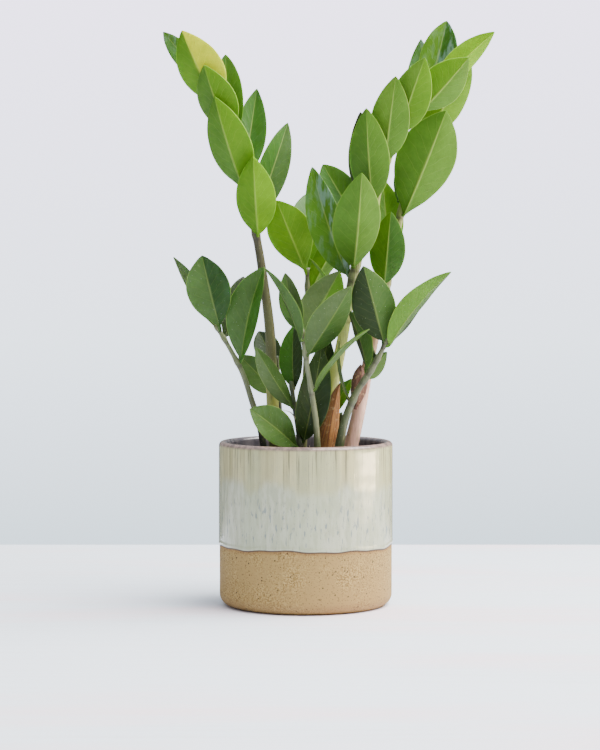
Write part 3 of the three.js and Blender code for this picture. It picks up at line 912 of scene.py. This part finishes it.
# How glossy each named blade is, with its painted sheen streaks; the rest get a trace.
SHINY = {"tall_middle_leaflet_2": 1.0, "tall_right_leaflet_4": 0.6, "tall_right_leaflet_5": 0.8,
         "tall_left_leaflet_8": 0.5}
for stem, greens in LEAFLET_GREENS.items():
    line, _ = stem_lines[stem]
    for number, pair in enumerate(greens, 1):
        node = f"{stem}_leaflet_{number}"
        old = stem in OLD_STEMS or node == "tall_middle_leaflet_1"
        slot = "mature_leaflet" if old and node != "low_right_leaflet_2" else "young_leaflet"
        root = line[min(leaflet_feet[node] - 1, len(line) - 4)]
        piece = blade_piece(f"{stem}_blade_{number}", turned_ring_data(node), root, pair,
                            SHINY.get(node, 0.03), leafy[slot], rand.uniform(0, 6))
        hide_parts(node)


# ---- The small leaflets among the stems
# A few more leaflets that fill the gaps: dark short ones low down in the shade, and two green
# ones in the right-hand crown. They grow like the others and have the same waxy skin.
def spare_ring_data(foot, tip, looks, width, fold=0.3, arch=0.05):
    """The same kind of data as a CAD blade gives, for a leaflet from foot to tip in millimetres."""
    foot, tip = np.array(foot) * MM, np.array(tip) * MM
    length = np.linalg.norm(tip - foot)
    chord = unit(tip - foot)
    upper, across = across_to(chord, np.array(looks, float))
    data = []
    for step in range(8):
        s = (1 - math.cos(math.pi * step / 7)) / 2
        outline = s ** 0.68 * (1 - s) ** 0.85 / 0.347
        half = max(width * MM / 2 * outline, STALK_RADIUS * (1 - s) + 0.3 * MM * s)
        slope = math.atan(4 * arch * (1 - 2 * s))
        normal = upper * math.cos(slope) - chord * math.sin(slope)
        middle = foot + chord * length * s + upper * 4 * s * (1 - s) * arch * length
        data.append((middle, across * half, normal * half * fold, normal))
    return [list(column) for column in zip(*data)]


# Each one: its stem, its foot and tip, where its upper side looks, its width, and its greens.
SPARE_LEAFLETS = [
    ("tall_right", (92, 13, 352), (123, 5, 405), (-0.2, 1, 0.2), 31, "fresh fresh"),
    ("tall_right", (70, 24, 303), (97, 28, 368), (0, 1, 0.2), 22, "forest forest"),
    ("tall_middle", (9, 4, 128), (17, 9, 201), (-0.3, -1, 0), 25, "shade shade"),
    ("tall_middle", (20, -1, 143), (34, 1, 169), (-0.4, -1, 0.2), 12, "forest leaf"),
    ("tall_middle", (19, -4, 130), (27, -2, 144), (0, -1, 0.3), 8, "shade shade"),
    ("low_right", (59, -27, 196), (88, -30, 230), (-0.6, 1, 0.5), 19, "shade shade")]
for number, (stem, foot, tip, looks, width, pair) in enumerate(SPARE_LEAFLETS, 1):
    line, _ = stem_lines[stem]
    nearest = int(np.argmin(np.linalg.norm(line - np.array(foot) * MM, axis=1)))
    slot = "young_leaflet" if stem == "tall_right" else "mature_leaflet"
    piece = blade_piece(f"spare_blade_{number}", spare_ring_data(foot, tip, looks, width),
                        line[nearest], pair, 0.0, leafy[slot], rand.uniform(0, 6))


# ---- The dry remains
# A stub of a leaf stalk that died and was cut off near the soil, black and shrunken, and a few
# dry threads torn from the old scales. They stand among the stems.
def thread_piece(name, path, radii, material, sides=10):
    """A round rod along the path, in millimetres, as thick at each stop as its radius."""
    path = [np.array(stop, float) * MM for stop in path]
    last = len(path) - 1
    rows = 8 * last + 1
    line = [on_curve(path, i / 8) for i in range(rows)]
    points = []
    for i, middle in enumerate(line):
        heading = unit(line[min(i + 1, rows - 1)] - line[max(i - 1, 0)])
        right, front = across_to(heading, np.array([1.0, 0, 0]))
        r = np.interp(i / 8, range(last + 1), radii) * MM
        for side in range(sides):
            turn = 2 * math.pi * side / sides
            knob = 1 + 0.12 * noise.noise(Vector((3 * math.cos(turn), 3 * math.sin(turn), 0.9 * i)))
            points.append(middle + r * knob * (math.cos(turn) * right + math.sin(turn) * front))
    piece = mesh_piece(name, points, rod_faces(rows, sides), material)
    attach(piece, "root")


charred, tree, shader, place = new_finish("dead_stalk")
wrinkles = mottled(tree, place, (500, 500, 90), 0.4, 0.6)
tree.links.new(tinted(tree, wrinkles, linear("#14100C"), linear("#3A2E22")), shader.inputs["Base Color"])
shader.inputs["Roughness"].default_value = 0.8
raised(tree, shader, wrinkles, 0.0004)
thread_piece("dead_stub", [(21, -13, 103), (21.5, -13, 120), (22.5, -13, 130), (23, -12.5, 134)],
             [2.6, 2.3, 2.6, 1.0], charred)

straw_like, tree, shader, place = new_finish("dry_thread")
fade = mottled(tree, place, 200)
tree.links.new(tinted(tree, fade, linear("#8A7A58"), linear("#C2B694")), shader.inputs["Base Color"])
shader.inputs["Roughness"].default_value = 0.8
thread_piece("dry_thread_1", [(-7, -20, 139), (-5, -21, 150), (-2, -21, 166)], [0.5, 0.3, 0.12],
             straw_like)
thread_piece("dry_thread_2", [(-7.5, -20, 140), (-11, -21, 145), (-17, -20, 147)], [0.5, 0.4, 0.15],
             straw_like)
thread_piece("dry_thread_3", [(6, -22, 104), (5, -24, 112), (2.5, -25, 121)], [0.6, 0.35, 0.15],
             straw_like)


# ---- The sheaths
# The dry scales that wrapped two of the young stems, split open down one side and curled at the
# tip: papery brown skin with lengthwise fibres and a torn edge.
SHEATH_STATIONS = 60
SHEATH_ACROSS = 25
SHEATH_THICK = 0.22 * MM
SHEATH_COLOURS = {
    "tall_middle": ("#7A431C", "#C48A4A", "#3E2210"),
    "tall_right": ("#5A382C", "#8A5C48", "#3A2219")}
SHEATH_LEANS = {"tall_middle": 7 * MM, "tall_right": 0}
papery = {}
for stem, (dark, light, tip_colour) in SHEATH_COLOURS.items():
    made, tree, shader, place = new_finish(f"papery_sheath_{stem}")
    along = carried(tree, "along").outputs["Fac"]
    across = carried(tree, "across").outputs["Fac"]
    ribs = put(tree, "ShaderNodeCombineXYZ", {0: across, 1: along}).outputs[0]
    threads = mottled(tree, ribs, (9, 1.6, 1), 0.35, 0.65)
    fine_threads = mottled(tree, ribs, (34, 3, 1), 0.40, 0.62)
    paper = tinted(tree, threads, linear(dark), linear(light))
    paper = tinted(tree, sum_of(tree, "MULTIPLY", fine_threads, 0.55), paper, linear(tip_colour))
    paper = tinted(tree, sum_of(tree, "MULTIPLY", eased(tree, along, 0.72, 1.0), 0.8), paper,
                   linear(tip_colour))
    paper = tinted(tree, sum_of(tree, "MULTIPLY", mottled(tree, place, 300, 0.55, 0.7), 0.5), paper,
                   linear("#D8B27C"))
    tree.links.new(paper, shader.inputs["Base Color"])
    tree.links.new(between(tree, threads, 0.6, 0.85), shader.inputs["Roughness"])
    raised(tree, shader, sum_of(tree, "ADD", threads, fine_threads), 0.00018)
    papery[stem] = made

for stem, paper in papery.items():
    middles, halves, rises, ups = turned_ring_data(f"{stem}_sheath")
    last = len(middles) - 1
    points, alongs, acrosses = [], [], []
    for side in (1, -1):
        for i in range(SHEATH_STATIONS + 1):
            t = i / SHEATH_STATIONS
            k = last * t
            middle, half, rise = (on_curve(column, k) for column in (middles, halves, rises))
            up = unit(on_curve(ups, k))
            for j in range(SHEATH_ACROSS):
                u = 2 * j / (SHEATH_ACROSS - 1) - 1
                torn = 1 - 0.10 * abs(noise.noise(Vector((14 * t, 3 * np.sign(u), 2)))) * u * u
                ply = 0.30 * MM * math.sin(9 * u + 2.5 * t) * (1 - t) * t * 4
                curl = 1.8 * MM * soft_step(t, 0.7, 1) * u
                lean = np.array([SHEATH_LEANS[stem] * (t * t - 0.2), 0, 0])
                points.append(middle + lean + half * u * torn + rise * u * u
                              + up * (ply + curl + side * SHEATH_THICK))
                alongs.append(t)
                acrosses.append(u)
    layer = (SHEATH_STATIONS + 1) * SHEATH_ACROSS
    faces = []
    for i in range(SHEATH_STATIONS):
        for j in range(SHEATH_ACROSS - 1):
            a, b = i * SHEATH_ACROSS + j, (i + 1) * SHEATH_ACROSS + j
            faces.append((a, a + 1, b + 1, b))
            faces.append((layer + a, layer + b, layer + b + 1, layer + a + 1))
        for j in (0, SHEATH_ACROSS - 1):
            a, b = i * SHEATH_ACROSS + j, (i + 1) * SHEATH_ACROSS + j
            faces.append((a, b, layer + b, layer + a))
    for i in (0, SHEATH_STATIONS):
        for j in range(SHEATH_ACROSS - 1):
            a = i * SHEATH_ACROSS + j
            faces.append((a, a + 1, layer + a + 1, layer + a))
    piece = mesh_piece(f"{stem}_dry_scale", points, faces, paper)
    carry(piece, "along", alongs)
    carry(piece, "across", acrosses)
    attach(piece, "root")
    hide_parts(f"{stem}_sheath")
